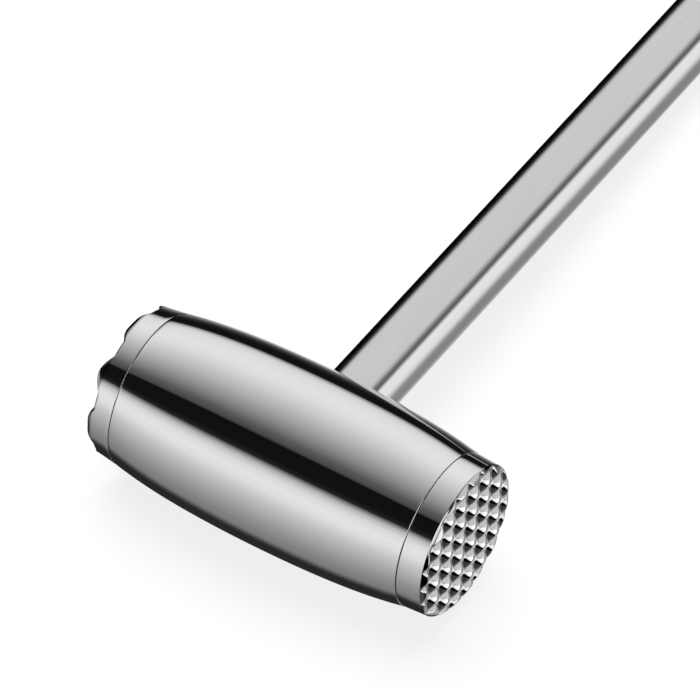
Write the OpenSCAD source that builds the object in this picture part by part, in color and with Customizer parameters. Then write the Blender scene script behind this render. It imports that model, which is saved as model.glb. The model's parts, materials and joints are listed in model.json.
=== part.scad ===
// Steel meat mallet, lying on a table on its barrel and the end of its handle.
// The head lies along X with its fine face at +X. The handle runs towards +Y.
// Each piece is drawn in the tool's own frame, with the head's middle at the
// origin and the handle level, and laid_down() then puts the tool on the table.

/* [Barrel] */
// Diameter of the barrel at its middle
belly_d = 50; // [46:0.5:56]
// Distance from the middle of the barrel to each seam
seam_x = 44; // [38:0.5:50]
// Drop of the radius at the seam from the even curve along the barrel
even_drop = 2.05; // [1.5:0.05:3]
// Further drop of the radius at the seam, which draws the ends in
end_drop = 1.15; // [0.6:0.05:2]
// Wall of the hollow barrel
barrel_wall = 3; // [2.5:0.1:4]
// Bevel on each edge of the seams
seam_bevel = 0.2; // [0.1:0.05:0.4]

/* [Faces] */
// Distance from the seam to the foot of the fine teeth
fine_cap_t = 7; // [5:0.1:9]
// Distance from the seam to the foot of the coarse teeth
coarse_cap_t = 6; // [5:0.1:9]
// How far below the foot of the fine teeth their rim begins
fine_rim_low = 0.4; // [0:0.1:1]
// How much narrower the fine face is at its rim than at its seam, on the radius
fine_drop = 0.4; // [0:0.1:1.5]
// How much narrower the coarse face is there, on the radius
coarse_drop = 0.8; // [0:0.1:1.5]
// How far the slanting rim of the fine face draws in
fine_rim = 4.2; // [2:0.1:5]
// How far the rounded rim of the coarse face draws in
coarse_rim = 1.6; // [1:0.1:3.5]
// Distance from tooth to tooth on the fine face
fine_pitch = 5.8; // [4.5:0.1:8]
// Height of the fine teeth
fine_h = 1.7; // [1.2:0.1:3.5]
// Width of the narrow floor between fine teeth
fine_floor = 0.2; // [0.1:0.05:0.6]
// Width of the blunt tip of a fine tooth
fine_tip = 0.4; // [0.2:0.1:1]
// Distance from tooth to tooth on the coarse face
coarse_pitch = 16.4; // [13:0.2:18]
// Height of the coarse teeth
coarse_h = 3; // [2:0.1:5]
// Width of the blunt tip of a coarse tooth
coarse_tip = 2.4; // [1.5:0.1:4]
// Width of the flat floor between coarse teeth
coarse_floor = 5.2; // [4:0.2:8]
// Depth of the spigot on the back of each face
spigot_l = 6; // [4:0.5:9]
// Diameter of the hollow in the back of each face
cap_hollow_d = 28; // [22:1:32]
// Depth of the hollow in the back of each face
cap_hollow_l = 4; // [2:0.5:5]

/* [Anchor] */
// Diameter of the block inside the head
block_d = 26; // [22:1:32]
// Length of the block inside the head
block_l = 26; // [22:1:36]
// Diameter of the studs between the block and the faces
stud_d = 8; // [6:0.5:10]
// Depth to which a stud goes into the block
stud_in_block = 7; // [5:0.5:8]
// Depth to which a stud goes into a face, past its hollow
stud_in_cap = 5; // [3:0.5:6]
// Diameter of the pins that keep the faces from turning
dowel_d = 1.6; // [1.2:0.1:2]
// Length of each of these pins
dowel_l = 6; // [5:0.5:8]

/* [Handle] */
// Distance from the head's axis to the end of the handle
reach = 245; // [200:1:290]
// Width of the handle
handle_w = 19.2; // [16:0.2:24]
// Width of the cover strip along the top of the handle
cover_w = 13; // [10:0.2:15]
// Height of the crease above the handle's widest line
crease_h = 6.6; // [5.5:0.1:8]
// Rise of the cover's crown above the crease
crown_h = 1.3; // [1:0.1:2]
// Depth of the handle below its widest line
keel_h = 6.6; // [5:0.1:8]
// How far the handle's widest line lies below the head's axis
handle_drop = 1.6; // [0:0.1:4]
// Wall of the trough
handle_wall = 1.2; // [0.8:0.1:1.6]
// Rounding of the end of the handle, seen from the side
tip_round = 3; // [2:0.1:4]
// Depth of the lips under the cover, inside the trough
lip_h = 2.5; // [1.5:0.1:4]
// Thickness of these lips
lip_t = 1; // [0.6:0.1:1.5]
// How far the lips reach up into the cover
lip_root = 0.3; // [0.1:0.1:0.5]

/* [Inserts] */
// Diameter of the tang
tang_d = 8; // [7:0.5:9]
// Depth to which the tang goes into the block, from its side
tang_in_block = 10; // [7:0.5:14]
// Depth to which the tang goes into the neck plug
tang_in_plug = 24; // [16:1:32]
// Length of the neck plug, past the barrel
neck_plug_l = 32; // [26:1:50]
// Diameter of the pin through the neck plug and the tang
tang_pin_d = 3; // [2:0.25:3.5]
// Distance from the barrel to the middle of this pin
tang_pin_at = 14; // [8:0.5:20]
// How far this pin stops short of the inside of the shell, at each end
pin_short = 1.2; // [1:0.1:3]
// Length of the end plug
end_plug_l = 30; // [26:1:45]

/* [Hanging hole] */
// Diameter of the hanging hole
hole_d = 8; // [6:0.25:8.5]
// Wall of the tube that lines the hole
eyelet_wall = 1.3; // [1:0.1:1.6]
// Distance from the end of the handle to the middle of the hole
hole_in = 14; // [11:0.5:18]
// Depth of the flared mouth at each side of the hole
flare_h = 2.2; // [1.8:0.1:3]
// How much wider than the hole each mouth is, on the radius
flare_w = 0.8; // [0.5:0.1:0.9]

/* [Fits] */
// Gap all round between a stud, tang or pin and its hole
pin_gap = 0.02; // [0.01:0.01:0.05]
// Gap between a spigot and the barrel, and between an insert and a shell
seat_gap = 0.03; // [0.01:0.01:0.1]

/* [Hidden] */
$fn = 96;

polished = "gainsboro";
satin = "silver";
plain_steel = "slategray";

// Steps of the barrel's curve from its middle to a seam
curve_steps = 16;
// Steps of a rim's rounding, and of a quarter of the handle's section
arc_steps = 8;
section_steps = 12;
// Small length by which a cutting tool passes the face that it cuts
pass = 1;

belly_r = belly_d / 2;
// Radius of the barrel's curve at a distance x from its middle
function barrel_r(x) =
    belly_r - even_drop * pow(x / seam_x, 2) - end_drop * pow(x / seam_x, 4);
curve_step = seam_x / curve_steps;
seam_r = barrel_r(seam_x);
bore_r = seam_r - barrel_wall;

// The handle's section: z is measured from the head's axis
neck_plug_y = belly_r + neck_plug_l;
end_plug_y = reach - end_plug_l;
crease_z = crease_h - handle_drop;
crown_z = crease_z + crown_h;
keel_z = -handle_drop - keel_h;
crown_r = (pow(cover_w / 2, 2) + crown_h * crown_h) / (2 * crown_h);
// Half height of the ellipse that a side of the handle follows above its widest line
side_h = crease_h / sqrt(1 - pow(cover_w / handle_w, 2));
// Half width of the trough's mouth, inside its wall
mouth_half = (handle_w / 2 - handle_wall) * sqrt(1 - pow(crease_h / (side_h - handle_wall), 2));
hole_y = reach - hole_in;
eyelet_r = hole_d / 2 + eyelet_wall;

// The dip of the handle, at which its rounded end touches the table with the barrel
tip_y = reach - tip_round;
tip_z = -keel_z - tip_round;
dip = asin((belly_r - tip_round) / norm([tip_y, tip_z])) - atan2(tip_z, tip_y);
top_end_y = (reach - tip_round) * cos(dip) + (crown_z - tip_round) * sin(dip) + tip_round;
middle_x = (fine_cap_t + fine_h - coarse_cap_t - coarse_h) / 2;
middle_y = (top_end_y - belly_r) / 2;

// Puts the tool on the table, with the middle of its footprint at the origin
module laid_down()
    translate([-middle_x, -middle_y, belly_r])
        rotate([-dip, 0, 0])
            children();

// Turns a shape that stands on Z so that it lies along the head's axis
module along_head() rotate([0, 90, 0]) children();

// Turns a shape that stands on Z so that it lies along the handle
module along_handle() rotate([-90, 0, 0]) children();

// The barrel's curve as a solid, over a number of steps each way from its middle
module barrel_solid(steps, bevel = 0)
    along_head()
        rotate_extrude()
            polygon(concat(
                [[0, -steps * curve_step], [barrel_r(steps * curve_step) - bevel, -steps * curve_step]],
                [for (i = [-steps:steps])
                    let (x = i * curve_step - sign(i) * (abs(i) == steps ? bevel : 0))
                        [barrel_r(x), x]],
                [[barrel_r(steps * curve_step) - bevel, steps * curve_step], [0, steps * curve_step]]));

// Hollow of the barrel: it follows the outside at the wall's depth
module barrel_hollow() {
    end_x = seam_x - spigot_l - seat_gap;
    along_head()
        rotate_extrude()
            polygon(concat(
                [[0, -end_x]],
                [for (i = [-curve_steps:curve_steps])
                    let (x = end_x * i / curve_steps)
                        [barrel_r(x) - barrel_wall, x]],
                [[0, end_x]]));
    along_head() cylinder(r = bore_r, h = 2 * (seam_x + pass), center = true);
}

// Rod along the head's axis, from one distance to another
module head_rod(r, from_x, to_x)
    translate([from_x, 0, 0])
        along_head()
            cylinder(r = r, h = to_x - from_x);

// Rod along the handle, at the height of the head's axis
module handle_rod(r, from_y, to_y)
    translate([0, from_y, 0])
        along_handle()
            cylinder(r = r, h = to_y - from_y);

dowel_at = bore_r + barrel_wall / 2;
tang_end_y = belly_r + tang_in_plug;
tang_start_y = block_d / 2 - tang_in_block;

// Pin in the seam, below the handle, where it holds a face square
module dowel(r, half_l)
    translate([seam_x, 0, -dowel_at])
        along_head()
            cylinder(r = r, h = 2 * half_l, center = true, $fn = 32);

// Bulged middle of the head
module head_barrel()
    color(polished)
        difference() {
            barrel_solid(curve_steps, seam_bevel);
            barrel_hollow();
            handle_rod(tang_d / 2 + pin_gap, 0, belly_r + pass);
            for (side = [0, 1])
                mirror([side, 0, 0])
                    dowel(dowel_d / 2 + pin_gap, dowel_l / 2 + seat_gap);
        }

// Face at +X before its teeth are cut: spigot, side, and rim up to top_x. The rim is a
// quarter of an ellipse with a bend of 1, and straighter with a larger one.
module face_blank(rim_x, top_x, drop, rim_w, bend)
    difference() {
        union() {
            along_head()
                rotate_extrude()
                    polygon(concat(
                        [[0, seam_x], [seam_r - seam_bevel, seam_x], [seam_r, seam_x + seam_bevel],
                            [seam_r - drop, rim_x]],
                        [for (i = [1:arc_steps])
                            let (a = 90 * i / arc_steps)
                                [seam_r - drop - rim_w * (1 - pow(cos(a), bend)),
                                    rim_x + (top_x - rim_x) * pow(sin(a), bend)]],
                        [[0, top_x]]));
            head_rod(bore_r - seat_gap, seam_x - spigot_l, seam_x + seam_bevel);
        }
        head_rod(cap_hollow_d / 2, seam_x - spigot_l - pass, seam_x - spigot_l + cap_hollow_l);
        head_rod(stud_d / 2 + pin_gap, seam_x - spigot_l,
            seam_x - spigot_l + cap_hollow_l + stud_in_cap + seat_gap);
        dowel(dowel_d / 2 + pin_gap, dowel_l / 2 + seat_gap);
    }

// Groove across a face: floor and top are its widths at the foot and tip of the teeth
module groove(foot_x, floor_w, top_w, tooth_h) {
    slope = (top_w - floor_w) / 2 / tooth_h;
    over = (tooth_h + pass) * slope + floor_w / 2;
    rotate([90, 0, 0])
        linear_extrude(height = 2 * belly_r, center = true)
            polygon([[foot_x, -floor_w / 2], [foot_x, floor_w / 2],
                [foot_x + tooth_h + pass, over], [foot_x + tooth_h + pass, -over]]);
}

// Grooves both ways across a face, at each place of a list
module tooth_grooves(places, foot_x, floor_w, top_w, tooth_h)
    for (turn = [0, 90], place = places)
        rotate([turn, 0, 0])
            translate([0, 0, place])
                groove(foot_x, floor_w, top_w, tooth_h);

// Fine face: pyramids whose grooves have a narrow floor, one groove through the axis
fine_foot_x = seam_x + fine_cap_t;
fine_bend = 1.25;
fine_count = ceil(seam_r / fine_pitch);
module fine_face()
    color(polished)
        difference() {
            face_blank(fine_foot_x - fine_rim_low, fine_foot_x + fine_h, fine_drop, fine_rim, fine_bend);
            tooth_grooves([for (i = [-fine_count:fine_count]) i * fine_pitch],
                fine_foot_x, fine_floor, fine_pitch - fine_tip, fine_h);
        }

// Coarse face: blunt pyramids on a flat floor, one tooth on the axis
coarse_foot_x = seam_x + coarse_cap_t;
coarse_bend = 1;
coarse_count = ceil(seam_r / coarse_pitch);
module coarse_face()
    color(polished)
        mirror([1, 0, 0])
            difference() {
                face_blank(coarse_foot_x, coarse_foot_x + coarse_h, coarse_drop, coarse_rim, coarse_bend);
                tooth_grooves([for (i = [-coarse_count:coarse_count - 1]) (i + 0.5) * coarse_pitch],
                    coarse_foot_x, coarse_floor, coarse_pitch - coarse_tip, coarse_h);
            }

// Block in the middle of the head, held between the studs
module anchor_block()
    color(plain_steel)
        difference() {
            head_rod(block_d / 2, -block_l / 2, block_l / 2);
            for (side = [0, 1])
                mirror([side, 0, 0])
                    head_rod(stud_d / 2 + pin_gap, block_l / 2 - stud_in_block - seat_gap,
                        block_l / 2 + pass);
            handle_rod(tang_d / 2 + pin_gap, tang_start_y - seat_gap, block_d);
        }

// Stud from the block to a face, at +X
module tie_stud()
    color(plain_steel)
        head_rod(stud_d / 2, block_l / 2 - stud_in_block,
            seam_x - spigot_l + cap_hollow_l + stud_in_cap);

module fine_tie_stud() tie_stud();
module coarse_tie_stud() mirror([1, 0, 0]) tie_stud();

module fine_face_dowel() color(plain_steel) dowel(dowel_d / 2, dowel_l / 2);
module coarse_face_dowel() mirror([1, 0, 0]) fine_face_dowel();

// Rod that holds the handle to the block
module handle_tang()
    color(plain_steel)
        difference() {
            handle_rod(tang_d / 2, tang_start_y, tang_end_y);
            tang_pin_rod(tang_pin_d / 2 + pin_gap);
        }

// Rod across the handle where the tang is pinned; it stops short of the plug's sides
module tang_pin_rod(r)
    translate([0, belly_r + tang_pin_at, 0])
        along_head()
            cylinder(r = r, h = handle_w - 2 * handle_wall - 2 * pin_short, center = true, $fn = 48);

module tang_pin() color(plain_steel) tang_pin_rod(tang_pin_d / 2);

// Section of the trough across the handle, drawn in by a distance all round. Its sides
// follow one ellipse above the widest line and one below. A lift runs its top past the crease.
module section(inset = 0, lift = 0) {
    half_w = handle_w / 2 - inset;
    upper_h = side_h - inset;
    lower_h = keel_h - inset;
    crease_a = asin(crease_h / upper_h);
    crease_half = half_w * cos(crease_a);
    translate([0, -handle_drop])
        polygon(concat(
            [for (i = [-section_steps:section_steps])
                let (a = 90 * i / section_steps)
                    [half_w * sin(a), -lower_h * cos(a)]],
            [for (i = [1:section_steps])
                let (a = crease_a * i / section_steps)
                    [half_w * cos(a), upper_h * sin(a)]],
            lift > 0 ? [[crease_half, crease_h + lift], [-crease_half, crease_h + lift]] : [],
            [for (i = [section_steps:-1:1])
                let (a = crease_a * i / section_steps)
                    [-half_w * cos(a), upper_h * sin(a)]]));
}

// Section of the cover above the crease
module crown_section()
    intersection() {
        translate([0, crown_z - crown_r]) circle(r = crown_r, $fn = 240);
        translate([-cover_w / 2, crease_z]) square([cover_w, crown_h + pass]);
    }

// A section carried along the handle from one distance to another
module carried(from_y, to_y)
    translate([0, from_y, 0])
        mirror([0, 1, 0])
            rotate([90, 0, 0])
                linear_extrude(height = to_y - from_y)
                    children();

// Space within the rounded end of the handle, drawn in by a distance
module end_space(inset = 0) {
    end_r = handle_w / 2 - inset;
    corner_r = tip_round - inset;
    straight_y = reach - handle_w / 2;
    intersection() {
        translate([0, 0, keel_z - pass])
            linear_extrude(height = crown_z - keel_z + 2 * pass) {
                translate([-end_r, -pass]) square([2 * end_r, straight_y + pass]);
                translate([0, straight_y]) circle(r = end_r);
            }
        rotate([90, 0, 90])
            linear_extrude(height = handle_w + pass, center = true) {
                translate([-pass, keel_z + inset])
                    square([tip_y + pass, crown_z - keel_z - 2 * inset]);
                translate([-pass, keel_z + tip_round])
                    square([reach - inset + pass, crown_z - keel_z - 2 * tip_round]);
                for (z = [keel_z + tip_round, crown_z - tip_round])
                    translate([tip_y, z]) circle(r = corner_r);
            }
    }
}

// Rod through the handle at its hanging hole
module hole_rod(r)
    translate([0, hole_y, keel_z - pass])
        cylinder(r = r, h = crown_z - keel_z + 2 * pass);

// The stretch of the barrel against which the handle is shaped
module barrel_seat() barrel_solid(ceil((handle_w / 2 + pass) / curve_step));

// Lower shell of the handle
module handle_trough()
    color(satin)
        difference() {
            intersection() {
                carried(0, reach) section();
                end_space();
            }
            intersection() {
                carried(-pass, reach) section(handle_wall, pass);
                end_space(handle_wall);
            }
            barrel_seat();
            hole_rod(eyelet_r + pin_gap);
        }

// Strip along the top of the handle, with lips that drop into the trough's mouth between the plugs
module handle_cover()
    color(satin)
        difference() {
            union() {
                intersection() {
                    carried(0, reach) crown_section();
                    end_space();
                }
                carried(neck_plug_y + seat_gap, end_plug_y - seat_gap)
                    for (side = [0, 1])
                        mirror([side, 0])
                            translate([mouth_half - seat_gap - lip_t, crease_z - lip_h])
                                square([lip_t, lip_h + lip_root]);
            }
            barrel_seat();
            hole_rod(eyelet_r + pin_gap);
        }

// Solid insert in the front end of the handle
module neck_plug()
    color(plain_steel)
        difference() {
            carried(0, neck_plug_y) section(handle_wall + seat_gap);
            barrel_seat();
            handle_rod(tang_d / 2 + pin_gap, 0, tang_end_y + seat_gap);
            tang_pin_rod(tang_pin_d / 2 + pin_gap);
        }

// Solid insert in the free end of the handle
module end_plug()
    color(plain_steel)
        difference() {
            intersection() {
                carried(end_plug_y, reach) section(handle_wall + seat_gap);
                end_space(handle_wall + seat_gap);
            }
            hole_rod(eyelet_r + pin_gap);
        }

// Tube that lines the hanging hole, flush with the handle and flared at both mouths
module hanging_eyelet()
    color(polished)
        difference() {
            intersection() {
                hole_rod(eyelet_r);
                carried(0, reach) {
                    section();
                    crown_section();
                }
            }
            hole_rod(hole_d / 2);
            for (side = [0, 1])
                translate([0, hole_y, side ? keel_z : crown_z])
                    mirror([0, 0, side])
                        translate([0, 0, -flare_h])
                            cylinder(r1 = hole_d / 2, r2 = hole_d / 2 + flare_w, h = flare_h);
        }

laid_down() head_barrel();
laid_down() fine_face();
laid_down() coarse_face();
laid_down() anchor_block();
laid_down() fine_tie_stud();
laid_down() coarse_tie_stud();
laid_down() fine_face_dowel();
laid_down() coarse_face_dowel();
laid_down() handle_tang();
laid_down() tang_pin();
laid_down() neck_plug();
laid_down() handle_trough();
laid_down() handle_cover();
laid_down() end_plug();
laid_down() hanging_eyelet();
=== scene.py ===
import json
import math

import bmesh
import bpy
import numpy as np
from mathutils import Matrix, Vector


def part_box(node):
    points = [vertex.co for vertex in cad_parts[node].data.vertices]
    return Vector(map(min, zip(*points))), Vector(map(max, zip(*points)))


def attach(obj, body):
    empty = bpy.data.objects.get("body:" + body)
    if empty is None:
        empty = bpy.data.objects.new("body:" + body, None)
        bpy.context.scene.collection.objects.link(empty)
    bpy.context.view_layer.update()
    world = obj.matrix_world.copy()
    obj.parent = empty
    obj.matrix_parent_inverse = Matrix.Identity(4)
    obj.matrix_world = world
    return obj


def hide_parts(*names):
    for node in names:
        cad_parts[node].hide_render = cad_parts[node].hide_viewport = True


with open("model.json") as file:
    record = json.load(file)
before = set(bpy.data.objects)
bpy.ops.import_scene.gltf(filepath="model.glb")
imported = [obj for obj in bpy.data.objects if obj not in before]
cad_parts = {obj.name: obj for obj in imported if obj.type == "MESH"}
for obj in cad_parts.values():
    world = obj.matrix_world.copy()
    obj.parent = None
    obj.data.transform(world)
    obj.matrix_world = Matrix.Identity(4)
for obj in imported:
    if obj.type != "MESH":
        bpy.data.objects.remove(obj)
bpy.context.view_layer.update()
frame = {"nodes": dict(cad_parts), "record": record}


# The picture is taken from above the fine face with a long lens. The head lies a little
# to the left of the picture's middle and below it, so the camera stands that much to the
# right and up. The middle of the head is the middle of the barrel's box.
belly_r = 0.025
azimuth = math.radians(32.7)
elevation = math.radians(48.36)
distance = 2.049
lens_mm = 408.9
sight = 50.0
picture_right = 0.01372
picture_up = 0.0282
barrel_low, barrel_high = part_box("head_barrel")
head_middle = np.array([(barrel_low.x + barrel_high.x) / 2, (barrel_low.y + barrel_high.y) / 2, belly_r])
back = Vector((math.sin(azimuth) * math.cos(elevation), -math.cos(azimuth) * math.cos(elevation),
               math.sin(elevation)))
right = Vector((math.cos(azimuth), math.sin(azimuth), 0.0))
upward = back.cross(right)
stand = Vector(head_middle) + back * distance + right * picture_right + upward * picture_up
camera = bpy.data.objects.new("camera", bpy.data.cameras.new("camera"))
camera.data.lens = lens_mm
camera.data.clip_end = sight
camera.matrix_world = Matrix.Translation(stand) @ Matrix((right, upward, back)).transposed().to_4x4()
bpy.context.scene.collection.objects.link(camera)
bpy.context.scene.camera = camera


# The mallet is lit by long soft boxes that lie along the head, above and in front, with
# black gaps between them, and by a few round cards beside and below it. They show only as
# reflections in the steel: the camera itself sees plain white.
class Number:
    """A socket that carries a value. Sums, products and the methods below add nodes after it."""

    def __init__(self, tree, socket):
        self.tree = tree
        self.socket = socket

    def out(self, name):
        """Another output of the same node."""
        return Number(self.tree, self.socket.node.outputs[name])

    def math(self, operation, *others):
        """A Math node with this value first."""
        return self.tree.add("ShaderNodeMath", {"operation": operation}, dict(enumerate((self, *others))))

    def rise(self, start, stop):
        """0 up to start, 1 from stop on, and a smooth step between them."""
        if start > stop:
            return 1.0 - self.rise(stop, start)
        return self.tree.add("ShaderNodeMapRange", {"interpolation_type": "SMOOTHSTEP"},
                             {"Value": self, "From Min": start, "From Max": stop})

    def __add__(self, other):
        return self.math("ADD", other)

    def __mul__(self, other):
        return self.math("MULTIPLY", other)

    def __sub__(self, other):
        return self.math("SUBTRACT", other)

    def __rsub__(self, other):
        return (self * -1.0) + other

    def __truediv__(self, other):
        return self.math("DIVIDE", other)

    __radd__ = __add__
    __rmul__ = __mul__


class Tree:
    """The node tree of a material or of the world, emptied."""

    def __init__(self, owner):
        owner.use_nodes = True
        self.nodes = owner.node_tree.nodes
        self.links = owner.node_tree.links
        self.nodes.clear()

    def add(self, kind, settings, sockets, output=0):
        """Adds a node: its settings first, then its sockets, each a value or a Number to link."""
        node = self.nodes.new(kind)
        for name, value in settings.items():
            if name == "stops":
                for place, shade in value[1:-1]:
                    node.color_ramp.elements.new(place)
                for element, (place, shade) in zip(node.color_ramp.elements, value):
                    element.position = place
                    element.color = (shade, shade, shade, 1.0)
            else:
                setattr(node, name, value)
        for name, value in sockets.items():
            if isinstance(value, Number):
                self.links.new(value.socket, node.inputs[name])
            else:
                node.inputs[name].default_value = value
        return Number(self, node.outputs[output]) if node.outputs else None

    def parts(self, vector):
        """The three numbers of a vector."""
        split = self.add("ShaderNodeSeparateXYZ", {}, {0: vector})
        return split, split.out("Y"), split.out("Z")


# Each row of the long boxes is an angle in degrees about the head's axis, from level behind
# over the top, and how bright they are there. A ramp runs through them once round. The boxes
# end off the fine face, where the sight line's X passes from box_full to box_end.
box_rows = [(-60, 1.0), (-46, 1.0), (-34, 0.4), (-26, 0.12), (-18, 0.03), (-9, 0.007),
            (5, 0.007), (11, 0.6), (15, 0.78), (24, 0.87), (38, 0.91), (50, 0.87), (62, 0.75),
            (78, 0.55), (94, 0.34), (110, 0.12), (118, 0.07), (119.5, 0.006),
            (138, 0.007), (144, 0.02), (151, 0.58), (158, 0.83), (167, 0.92), (176, 0.88),
            (190, 0.66), (206, 0.485), (222, 0.35), (238, 0.26), (247, 0.235), (258, 0.05),
            (264, 0.022), (295, 0.025)]
box_full = 0.35
box_end = 0.55

# Each card is a direction, the angles in degrees from it to the card's edge and to its full
# part, and a number. A black card takes that share of the light away, and a white or grey
# card shows that brightness instead.
black_cards = [((-0.9, 0.4, 0.0), 35, 22, 1.0), ((-0.66, 0.57, -0.5), 19, 14, 1.0),
               ((0.45, 0.66, 0.6), 27, 10, 0.85)]
lit_cards = [((0.5, -0.25, -0.83), 19, 5, 0.13), ((0.62, 0.56, -0.55), 31, 22, 0.34),
             ((0.35, 0.32, -0.88), 22, 13, 0.6), ((0.74, 0.62, 0.26), 33, 11, 1.18),
             ((0.97, 0.18, -0.2), 24, 17, 1.9), ((0.78, -0.42, 0.46), 30, 23, 1.3)]

world = bpy.data.worlds.new("studio")
bpy.context.scene.world = world
studio = Tree(world)
sight_line = studio.add("ShaderNodeTexCoord", {}, {}, "Generated")
sight_x, sight_y, sight_z = studio.parts(sight_line)
first_angle = box_rows[0][0]
turn = sight_z.math("ARCTAN2", sight_y) / math.tau - first_angle / 360
stops = [((angle - first_angle) / 360, shade) for angle, shade in box_rows]
light = studio.add("ShaderNodeValToRGB", {"stops": stops}, {"Fac": turn.math("FRACT")})


def card(direction, edge, full):
    """1 within the full angle of a direction, 0 past the edge angle, and a smooth step between."""
    unit = Vector(direction).normalized()
    near = studio.add("ShaderNodeVectorMath", {"operation": "DOT_PRODUCT"},
                      {0: sight_line, 1: unit}, "Value")
    return near.rise(math.cos(math.radians(edge)), math.cos(math.radians(full)))


for direction, edge, full, share in black_cards:
    light = light * (1.0 - share * card(direction, edge, full))
light = light * sight_x.rise(box_end, box_full)
for direction, edge, full, shade in lit_cards:
    covered = card(direction, edge, full)
    light = light * (1.0 - covered) + shade * covered
unseen = studio.add("ShaderNodeBackground", {}, {"Color": light, "Strength": 1.0})
seen = studio.add("ShaderNodeBackground", {}, {"Color": (1.0, 1.0, 1.0, 1.0), "Strength": 1.0})
is_camera = studio.add("ShaderNodeLightPath", {}, {}, "Is Camera Ray")
whole = studio.add("ShaderNodeMixShader", {}, {0: is_camera, 1: unseen, 2: seen})
studio.add("ShaderNodeOutputWorld", {}, {"Surface": whole})


# The table is a plain white sheet that takes the mallet's soft shadow. A wide lamp above
# lights the sheet alone, because polished steel shows only what it reflects.
table_half = 3.0
paper_shade = 0.9
glow_share = 0.8
lamp_d = 1.6
lamp_watts = 30.0
lamp_place = Vector((-0.3, 0.2, 1.6))
table_mesh = bpy.data.meshes.new("table")
table_mesh.from_pydata([(-table_half, -table_half, 0), (table_half, -table_half, 0),
                        (table_half, table_half, 0), (-table_half, table_half, 0)], [], [(0, 1, 2, 3)])
table = bpy.data.objects.new("table", table_mesh)
bpy.context.scene.collection.objects.link(table)
table.visible_glossy = False
sheet_material = bpy.data.materials.new("table_sheet")
sheet = Tree(sheet_material)
paper = sheet.add("ShaderNodeBsdfDiffuse", {}, {"Color": (paper_shade, paper_shade, paper_shade, 1.0)})
glow = sheet.add("ShaderNodeEmission", {}, {"Color": (1.0, 1.0, 1.0, 1.0), "Strength": 1.0})
whitened = sheet.add("ShaderNodeLightPath", {}, {}, "Is Camera Ray") * glow_share
sheet_surface = sheet.add("ShaderNodeMixShader", {}, {0: whitened, 1: paper, 2: glow})
sheet.add("ShaderNodeOutputMaterial", {}, {"Surface": sheet_surface})
table.data.materials.append(sheet_material)
lamp = bpy.data.objects.new("lamp", bpy.data.lights.new("lamp", "AREA"))
lamp.data.shape = "DISK"
lamp.data.size = lamp_d
lamp.data.energy = lamp_watts
lamp.location = lamp_place
lamp.rotation_euler = lamp_place.to_track_quat("Z", "Y").to_euler()
lamp.visible_glossy = False
bpy.context.scene.collection.objects.link(lamp)


# The barrel is a hollow stainless steel turning, 3 mm thick, bellied by a smooth curve and
# polished to a mirror on a wheel. The edges of its two seams are broken by a fine bevel.
seam_x = 0.044
seam_gap = 0.0001
seam_bevel = 0.00014
even_drop = 0.00205
end_drop = 0.00115
wheel_cut = 0.00001
barrel_wall = 0.003
spigot_l = 0.006
seat_gap = 0.00003
bore_r = belly_r - even_drop - end_drop - barrel_wall
weld_gap = 0.0000001
mirror_shade = 0.83
mirror_rough = 0.022

# The mallet's own axes are X along the head, Y along the handle and Z up out of the handle.
# It lies on the belly of its barrel and the end of its handle, and the hanging hole's axis
# says how far that turns its Z from upright.
tool_up = np.array(frame["record"]["mounts"][0]["axis"])
tool_along = np.array([0.0, tool_up[2], -tool_up[1]])
dip = math.atan2(tool_up[1], tool_up[2])


def laid_down(points):
    """Points on the mallet's own axes, put where it lies: middle + x right + y along + z up."""
    return head_middle + points @ np.array([[1.0, 0.0, 0.0], tool_along, tool_up])


def barrel_r(x):
    """The barrel's radius at x: the belly, less the hundredth of a millimetre that the wheel
    takes off, less a square and a fourth power of x / seam_x."""
    return belly_r - wheel_cut - even_drop * (x / seam_x) ** 2 - end_drop * (x / seam_x) ** 4


def corner(before, at, after, steps=5):
    """A rounded corner: the quadratic curve from one point to another, drawn towards a third."""
    t = np.linspace(0, 1, steps)[:, None]
    return (1 - t) ** 2 * np.array(before) + 2 * t * (1 - t) * np.array(at) + t ** 2 * np.array(after)


def turned(profile, steps):
    """A profile of (x, r) rows turned about the head's axis: (x, r cos a, r sin a)."""
    x, r = profile[:, :1], profile[:, 1:]
    a = np.linspace(0, math.tau, steps, endpoint=False)
    return np.stack([x + 0 * a, r * np.cos(a), r * np.sin(a)], -1)


def skin(name, rows, sharp=50):
    """A piece on a grid of points of the mallet's own axes: rows[i, j] joins rows[i + 1, j] and
    rows[i, j + 1], and the last column joins the first. Rows that meet are welded, and an edge
    that turns by more than the sharp angle stays crisp."""
    count, around = rows.shape[:2]
    i, j = np.meshgrid(np.arange(count - 1) * around, np.arange(around), indexing="ij")
    following = (j + 1) % around
    faces = np.stack([i + j, i + following, i + around + following, i + around + j], -1)
    mesh = bpy.data.meshes.new(name)
    mesh.from_pydata(laid_down(rows).reshape(-1, 3), [], faces.reshape(-1, 4))
    return finished(name, mesh, sharp)


def finished(name, mesh, sharp):
    """Welds a mesh, turns its faces outwards, shades it and links it as a piece."""
    work = bmesh.new()
    work.from_mesh(mesh)
    bmesh.ops.remove_doubles(work, verts=work.verts, dist=weld_gap)
    bmesh.ops.recalc_face_normals(work, faces=work.faces)
    work.to_mesh(mesh)
    work.free()
    mesh.shade_smooth()
    mesh.set_sharp_from_angle(angle=math.radians(sharp))
    piece = bpy.data.objects.new(name, mesh)
    bpy.context.scene.collection.objects.link(piece)
    return piece


def tool_space(tree):
    """Object coordinates turned onto the mallet's own axes."""
    place = tree.add("ShaderNodeTexCoord", {}, {}, "Object")
    return tree.add("ShaderNodeMapping", {"vector_type": "TEXTURE"},
                    {"Vector": place, "Location": tuple(head_middle), "Rotation": (-dip, 0.0, 0.0)})


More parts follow.
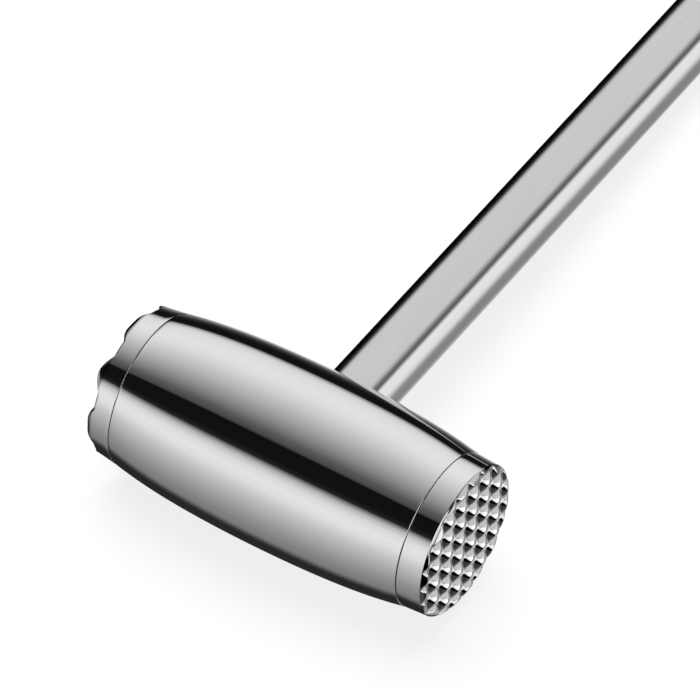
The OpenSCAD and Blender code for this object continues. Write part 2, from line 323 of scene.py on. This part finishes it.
def grain(tree, space, stretch, scale, detail=2.0):
    """Noise of about 0 to 1 with scale cells to a metre, drawn out along the axes whose stretch
    is small."""
    drawn = tree.add("ShaderNodeMapping", {}, {"Vector": space, "Scale": stretch})
    return tree.add("ShaderNodeTexNoise", {}, {"Vector": drawn, "Scale": scale, "Detail": detail})


def bare_steel(tree, shade, roughness, height, depth, blue=1.0):
    """Ends a material as bare metal: a grey shade with its blue part, a roughness, and a relief
    whose height of 1 stands that depth proud."""
    colour = tree.add("ShaderNodeCombineXYZ", {}, {0: shade, 1: shade, 2: shade * blue})
    bump = tree.add("ShaderNodeBump", {}, {"Height": height, "Distance": depth, "Strength": 1.0})
    surface = tree.add("ShaderNodeBsdfPrincipled", {},
                       {"Base Color": colour, "Metallic": 1.0, "Roughness": roughness, "Normal": bump})
    tree.add("ShaderNodeOutputMaterial", {}, {"Surface": surface})


def polished_steel(name, foot=None, tooth_h=None):
    """Mirror-polished steel with faint wheel lines round it, a thin haze and a few hairlines. Past the
    foot of the teeth it is a little rougher, where the wheel doesn't reach, and in their lower part it is
    darker: painted shade in the grooves between the teeth."""
    material = bpy.data.materials.new(name)
    tree = Tree(material)
    space = tool_space(tree)
    lines = grain(tree, space, (1.0, 0.02, 0.02), 5200, 3.0)
    haze = grain(tree, space, (1.0, 1.0, 1.0), 55, 3.0)
    hairs = grain(tree, space, (1.0, 0.06, 0.3), 900, 1.0).rise(0.7, 0.78)
    shade = mirror_shade + (haze - 0.5) * 0.03
    roughness = mirror_rough + haze * 0.016 + (lines - 0.5) * 0.01 + hairs * 0.04
    height = lines
    depth = 0.0000002
    if foot:
        along_head = tree.parts(space)[0].math("ABSOLUTE")
        up_tooth = along_head.rise(foot + low_part * tooth_h, foot + tooth_h)
        on_teeth = along_head.rise(foot - below_foot, foot + above_foot)
        cast = grain(tree, space, (1.0, 1.0, 1.0), 2600, 2.0)
        # Painted shade: the lower part of each tooth and the groove floors are made darker.
        shade = shade - on_teeth * (1.0 - up_tooth) * low_painted_shade
        roughness = roughness + on_teeth * (0.03 + cast * 0.05)
        height = lines * 0.2 + cast * on_teeth
        depth = 0.000004
    bare_steel(tree, shade, roughness, height, depth)
    return material


end_x = seam_x - seam_gap
end_r = barrel_r(end_x)
outside = np.linspace(-end_x + seam_bevel, end_x - seam_bevel, 121)
inside_end = seam_x - spigot_l - seat_gap
inside = np.linspace(inside_end, -inside_end, 41)
right_edge = corner((outside[-1], barrel_r(outside[-1])), (end_x, end_r), (end_x, end_r - seam_bevel))
left_edge = right_edge[::-1] * (-1, 1)
right_bore = np.array([(end_x, bore_r), (inside_end, bore_r)])
left_bore = right_bore[::-1] * (-1, 1)
barrel_profile = np.concatenate([
    np.stack([outside, barrel_r(outside)], -1), right_edge[1:], right_bore,
    np.stack([inside, barrel_r(inside) - barrel_wall], -1), left_bore, left_edge])
barrel = skin("barrel", turned(barrel_profile, 288))
barrel.data.materials.append(polished_steel("barrel_steel"))
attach(barrel, "root")
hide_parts("head_barrel")


# Each face is a solid steel cap, cast with its teeth and polished. A spigot on its back
# sits in the barrel, and a blind hole there takes the stud that pulls it tight.
hollow_r = 0.014
hollow_l = 0.004
stud_r = 0.00402
stud_depth = 0.00503
back_rows = 7
side_slope = 0.1
least_soft = 0.000001
below_foot = 0.0003
above_foot = 0.0001
# Painted shade: the lower share low_part of each tooth's height is made darker by the amount below, for
# the grooves between the teeth.
low_part = 0.45
low_painted_shade = 0.38


def lower(a, b, soft):
    """The lower of two surfaces, blended where they are less than the soft distance apart."""
    share = np.clip(0.5 + (b - a) / (2 * soft), 0, 1)
    return b * (1 - share) + a * share - soft * share * (1 - share)


def rim_rows(foot, foot_r, tooth_h, width, bend):
    """A rim's (x, r) rows, from the foot of the teeth to their tips: x rises by
    tooth_h sin(a)^bend while r draws in by width (1 - cos(a)^bend)."""
    a = np.linspace(0, math.pi / 2, 24)
    return np.stack([foot + tooth_h * np.sin(a) ** bend, foot_r - width * (1 - np.cos(a) ** bend)], -1)


def cap_profile(rim, top_rows):
    """A cap's (x, r) rows, from the middle of its back over its straight side and its rim to the
    middle of its front. The back is the first back_rows of them, and the side's rows crowd
    towards the rim as a cube."""
    back_x = seam_x - spigot_l
    floor_x = back_x + hollow_l
    start_x = seam_x + seam_gap
    start_r = barrel_r(start_x)
    behind = [(floor_x + stud_depth, 0), (floor_x + stud_depth, stud_r), (floor_x, stud_r),
              (floor_x, hollow_r), (back_x, hollow_r), (back_x, bore_r - seat_gap),
              (start_x, bore_r - seat_gap)]
    edge = corner((start_x, start_r - seam_bevel), (start_x, start_r),
                  (start_x + seam_bevel, start_r - side_slope * seam_bevel))
    t = 1 - np.linspace(1, 0, 16)[1:-1, None] ** 3
    side = edge[-1] + t * (rim[0] - edge[-1])
    top = np.linspace(rim[-1, 1], 0, top_rows)[1:]
    front = np.stack([np.full(len(top), rim[-1, 0]), top], -1)
    return np.concatenate([behind, edge, side, rim, front])


def toothed(rows, foot_x, tooth_h, pitch, shift, tip, ridge, floor, groove, bulge, soft, end_round):
    """Cuts teeth into a cap, one for each pitch across and up its face: near the foot and past
    it, x becomes the lower of the blank and of foot_x + tooth_h up (1 + bulge (1 - up)). There
    up goes from 1 at a tooth's middle to 0 at its edge, with the greater of the distances
    across and up. The tip rounds its top, ridge its four edges and groove its foot, and floor
    is the flat width between two teeth. Shift moves the teeth by a share of the pitch. Tooth
    and rim blend over the soft distance, and at the cap's side the grooves end in a quarter
    circle of end_round."""
    x, y, z = np.moveaxis(rows, -1, 0)
    off_y, off_z = (pitch / 2 - np.abs((v / pitch + shift) % 1 - 0.5) * pitch for v in (y, z))
    away = -lower(-np.hypot(off_y, tip), -np.hypot(off_z, tip), ridge)
    edge = (pitch - floor) / 2
    up = np.hypot(np.maximum(edge - away, 0), groove) - groove
    up = up / (math.hypot(edge - tip - ridge / 4, groove) - groove)
    tooth = foot_x + tooth_h * up * (1 + bulge * (1 - up))
    r = np.hypot(y, z)
    side_r = np.interp(foot_x - end_round, x[back_rows:, 0], r[back_rows:, 0])
    past = np.clip(r - side_r + end_round, 0, end_round)
    tooth = tooth - end_round + np.sqrt(end_round ** 2 - past ** 2)
    blend = np.clip(x - foot_x, least_soft, soft)
    return np.stack([np.where(x > foot_x - end_round, lower(x, tooth, blend), x), y, z], -1)


# The fine face has pyramids 5.8 mm apart and 1.7 mm high, whose grooves end in a narrow
# bottom. Its rim slants from a little below them, so the outer teeth are cut away towards it.
fine_h = 0.0017
fine_foot = seam_x + 0.007
rim_low = 0.0004
fine_side_drop = 0.0004
fine_rim = rim_rows(fine_foot - rim_low, barrel_r(seam_x) - fine_side_drop, fine_h + rim_low,
                    width=0.0042, bend=1.25)
fine_blank = turned(cap_profile(fine_rim, 118), 448)
fine_rows = toothed(fine_blank, fine_foot, fine_h, pitch=0.0058, shift=0.5, tip=0.0007,
                    ridge=0.0015, floor=0.0, groove=0.0001, bulge=0.25, soft=0.0004, end_round=0.0002)
fine_cap = skin("fine_cap", fine_rows, sharp=75)
fine_cap.data.materials.append(polished_steel("fine_teeth_steel", fine_foot, fine_h))
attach(fine_cap, "root")
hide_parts("fine_face")

# The coarse face has blunt pyramids 16.4 mm apart and 3 mm high on a flat floor, which look
# like rounded bumps from the side. One tooth stands on the head's axis, and the rim is round.
coarse_h = 0.003
coarse_foot = seam_x + 0.006
coarse_side_drop = 0.0008
coarse_rim = rim_rows(coarse_foot, barrel_r(seam_x) - coarse_side_drop, coarse_h, width=0.0016, bend=1.0)
coarse_blank = turned(cap_profile(coarse_rim, 90), 320)
coarse_rows = toothed(coarse_blank, coarse_foot, coarse_h, pitch=0.0164, shift=0.0, tip=0.0005,
                      ridge=0.002, floor=0.0038, groove=0.0006, bulge=0.25, soft=0.0012, end_round=0.001)
coarse_cap = skin("coarse_cap", coarse_rows * (-1, 1, 1), sharp=75)
coarse_cap.data.materials.append(polished_steel("coarse_teeth_steel", coarse_foot, coarse_h))
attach(coarse_cap, "root")
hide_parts("coarse_face")


# The handle's lower shell is a trough of 1.2 mm sheet, rounded below and drawn in above,
# brushed along its length to a satin finish. Its front end is cut to the barrel's belly.
reach = 0.245
half_w = 0.0096
cover_half = 0.0065
crease_h = 0.0066
keel_h = 0.0066
crown_h = 0.0013
handle_drop = 0.0016
handle_wall = 0.0012
tip_round = 0.003
edge_round = 0.00016
crease_z = crease_h - handle_drop
crown_z = crease_z + crown_h
keel_z = -handle_drop - keel_h
side_h = crease_h / math.sqrt(1 - (cover_half / half_w) ** 2)
hole_y = reach - 0.014
eyelet_r = 0.0053
drill_gap = 0.00002
drill_past = 0.002
circle = np.linspace(0, math.tau, 96, endpoint=False)
satin_shade = 0.65
satin_rough = 0.17


def flank(inset, angles):
    """A side of the handle's section at the angles: an ellipse above the widest line and another
    below it, both drawn in by the inset."""
    tall = np.where(angles > 0, side_h, keel_h) - inset
    return np.stack([(half_w - inset) * np.cos(angles), tall * np.sin(angles) - handle_drop], -1)


def carried(half):
    """A half section of (x, z, inset) rows, mirrored and carried along the handle, from the
    barrel's surface to the rounded end, where x shrinks by a half circle seen from above and z
    by a small arc seen from the side."""
    other = half[1:-1][::-1] * (-1, 1, 1)
    x, z, inset = np.concatenate([half, other]).T
    start = np.sqrt(barrel_r(x) ** 2 - z ** 2) + seat_gap
    round_y = reach - half_w
    t = np.linspace(0, 1, 64)[:, None]
    b = np.linspace(0, math.pi / 2, 25)[1:, None]
    y = np.concatenate([start + t * (round_y - start), round_y + (half_w - inset) * np.sin(b)])
    narrow = np.concatenate([0 * t + 1, np.cos(b)])
    past = np.clip(y - (reach - tip_round), 0, tip_round)
    half_h = (crown_z - keel_z) / 2
    shrink = 1 - (tip_round - np.sqrt(tip_round ** 2 - past ** 2)) / half_h
    mid_z = (crown_z + keel_z) / 2
    return np.stack([x * narrow, y, mid_z + (z - mid_z) * shrink], -1)


def shell(name, half):
    """A shell of the handle, closed against the barrel by one face, with the round hole for
    the eyelet cut through it."""
    whole_piece = skin(name + "_whole", carried(half))
    mesh = whole_piece.data
    work = bmesh.new()
    work.from_mesh(mesh)
    bmesh.ops.holes_fill(work, edges=[e for e in work.edges if e.is_boundary], sides=0)
    bmesh.ops.recalc_face_normals(work, faces=work.faces)
    work.to_mesh(mesh)
    work.free()
    drill_r = eyelet_r + drill_gap
    levels = np.array([keel_z - drill_past, crown_z + drill_past])[:, None]
    wall = np.stack([drill_r * np.cos(circle) + 0 * levels, hole_y + drill_r * np.sin(circle) + 0 * levels,
                     levels + 0 * circle], -1)
    ends = wall.mean(1, keepdims=True) + 0 * wall
    drill = skin(name + "_drill", np.stack([ends[0], wall[0], wall[1], ends[1]]))
    cut = whole_piece.modifiers.new("hole", "BOOLEAN")
    cut.object = drill
    cut.solver = "EXACT"
    bpy.context.view_layer.update()
    drilled = whole_piece.evaluated_get(bpy.context.evaluated_depsgraph_get())
    made = bpy.data.meshes.new_from_object(drilled)
    bpy.data.objects.remove(drill)
    bpy.data.objects.remove(whole_piece)
    made.name = name
    return finished(name, made, sharp=40)


def satin_steel(name):
    """Steel brushed along the handle: fine long lines in colour, gloss and relief, and a slow
    unevenness of the brushing."""
    material = bpy.data.materials.new(name)
    tree = Tree(material)
    space = tool_space(tree)
    lines = grain(tree, space, (1.0, 0.012, 1.0), 5000, 4.0)
    strokes = grain(tree, space, (1.0, 0.03, 1.0), 1300, 2.0)
    cloud = grain(tree, space, (1.0, 0.4, 1.0), 90, 3.0)
    shade = satin_shade + (lines - 0.5) * 0.07 + (strokes - 0.5) * 0.04 + (cloud - 0.5) * 0.03
    roughness = satin_rough + (lines - 0.5) * 0.05 + (cloud - 0.5) * 0.03
    bare_steel(tree, shade, roughness, height=lines * 0.7 + strokes * 0.3, depth=0.0000006)
    return material


crease_a = math.asin(crease_h / side_h)
crease_out = flank(0, np.array([crease_a]))[0]
before_crease = crease_a - edge_round / half_w
below = flank(0, np.linspace(-math.pi / 2, before_crease, 72))
crease_edge = corner(below[-1], crease_out, crease_out - (edge_round, 0), 7)[1:]
inner_a = math.asin(crease_h / (side_h - handle_wall))
within = flank(handle_wall, np.linspace(inner_a, -math.pi / 2, 48))
trough_half = np.concatenate([
    np.insert(below, 2, 0, axis=1), np.insert(crease_edge, 2, 0, axis=1),
    np.insert(within, 2, handle_wall, axis=1)])
trough = shell("trough", trough_half)
trough.data.materials.append(satin_steel("trough_satin"))
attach(trough, "root")
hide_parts("handle_trough")

# The cover strip closes the trough along its top. It is crowned, flatter in the middle and
# rounder towards its edges, and meets the trough in a thin crease on each side.
cover_edge = 0.00014
cover_bend = 3.0
cover_gap = 0.00004
cover_half_x = cover_half - cover_gap
lip_w = 0.6 * edge_round


def crown_at(x):
    """Height of the cover at x: crown_h in the middle, less the power cover_bend of the share of
    the way to its edge, where cover_edge is left."""
    return crease_z + cover_edge + (crown_h - cover_edge) * (1 - np.abs(x / cover_half_x) ** cover_bend)


across = np.linspace(0, cover_half_x - lip_w, 36)
crown = crown_at(across)
lip = corner((across[-1], crown[-1]), (cover_half_x, crease_z + cover_edge),
             (cover_half_x, crease_z + seat_gap), 6)
crown_rows = np.concatenate([np.stack([across, crown], -1), lip[1:], [(0.0, crease_z + seat_gap)]])
cover = shell("cover", np.insert(crown_rows, 2, 0, axis=1))
cover.data.materials.append(satin_steel("cover_satin"))
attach(cover, "root")
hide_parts("handle_cover")


# A short polished tube lines the hanging hole. Its mouths are flared, and its lips follow
# the crown and the keel of the handle and stand a hair proud of them.
hole_r = 0.004
flare_h = 0.0022
flare_w = 0.0008
proud = 0.00008
lip_round = 0.00025
mid_depth = 0.03


def mouth_height(x, side):
    """Height of the handle's skin at x, on the crown for side 1 and on the keel for side -1."""
    return crown_at(x) if side > 0 else -handle_drop - keel_h * np.sqrt(1 - (x / half_w) ** 2)


# The mouth's rows are (radius, depth below the lip), and a row at mid_depth lies in the
# middle of the tube, where the two mouths meet.
mouth_r = hole_r + flare_w
mouth = np.concatenate([
    [(hole_r, mid_depth)],
    corner((hole_r, flare_h), (hole_r, flare_h / 2), (mouth_r, lip_round), 8),
    corner((mouth_r, lip_round), (mouth_r, 0), (eyelet_r - lip_round, 0), 4)[1:],
    corner((eyelet_r - lip_round, 0), (eyelet_r, 0), (eyelet_r, lip_round), 4)[1:],
    [(eyelet_r, mid_depth)]])
tube_rows = []
for side in (1, -1):
    r, depth = mouth[::side].T[..., None]
    x = r * np.cos(circle)
    z = mouth_height(x, side) + side * (proud - depth)
    tube_z = np.where(depth < mid_depth, z, -handle_drop)
    tube_rows.append(np.stack([x, hole_y + r * np.sin(circle), tube_z], -1))
tube_rows = np.concatenate([*tube_rows, tube_rows[0][:1]])
eyelet = skin("eyelet", tube_rows, sharp=60)
eyelet.data.materials.append(polished_steel("eyelet_steel"))
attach(eyelet, "root")
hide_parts("hanging_eyelet")


# The pieces inside the head and the handle are plain turned steel: a block, two studs, two
# small dowels, the tang with its pin, and the two plugs. They keep the marks of the lathe.
lathe_shade = 0.5
lathe_rough = 0.3
lathe_blue = 1.03


def turned_steel(name):
    """Plain steel with lathe rings across it, slightly dull and uneven."""
    material = bpy.data.materials.new(name)
    tree = Tree(material)
    space = tool_space(tree)
    rings = grain(tree, space, (1.0, 0.05, 0.05), 2400, 3.0)
    cloud = grain(tree, space, (1.0, 1.0, 1.0), 160, 3.0)
    shade = lathe_shade + (rings - 0.5) * 0.12 + (cloud - 0.5) * 0.1
    bare_steel(tree, shade, lathe_rough + cloud * 0.2, height=rings, depth=0.00001, blue=lathe_blue)
    return material


inner_steel = turned_steel("inner_steel")
for inner in ("anchor_block", "fine_tie_stud", "coarse_tie_stud", "fine_face_dowel", "coarse_face_dowel",
              "handle_tang", "tang_pin", "neck_plug", "end_plug"):
    frame["nodes"][inner].material_slots[0].material = inner_steel


bpy.context.scene.view_settings.view_transform = "Standard"
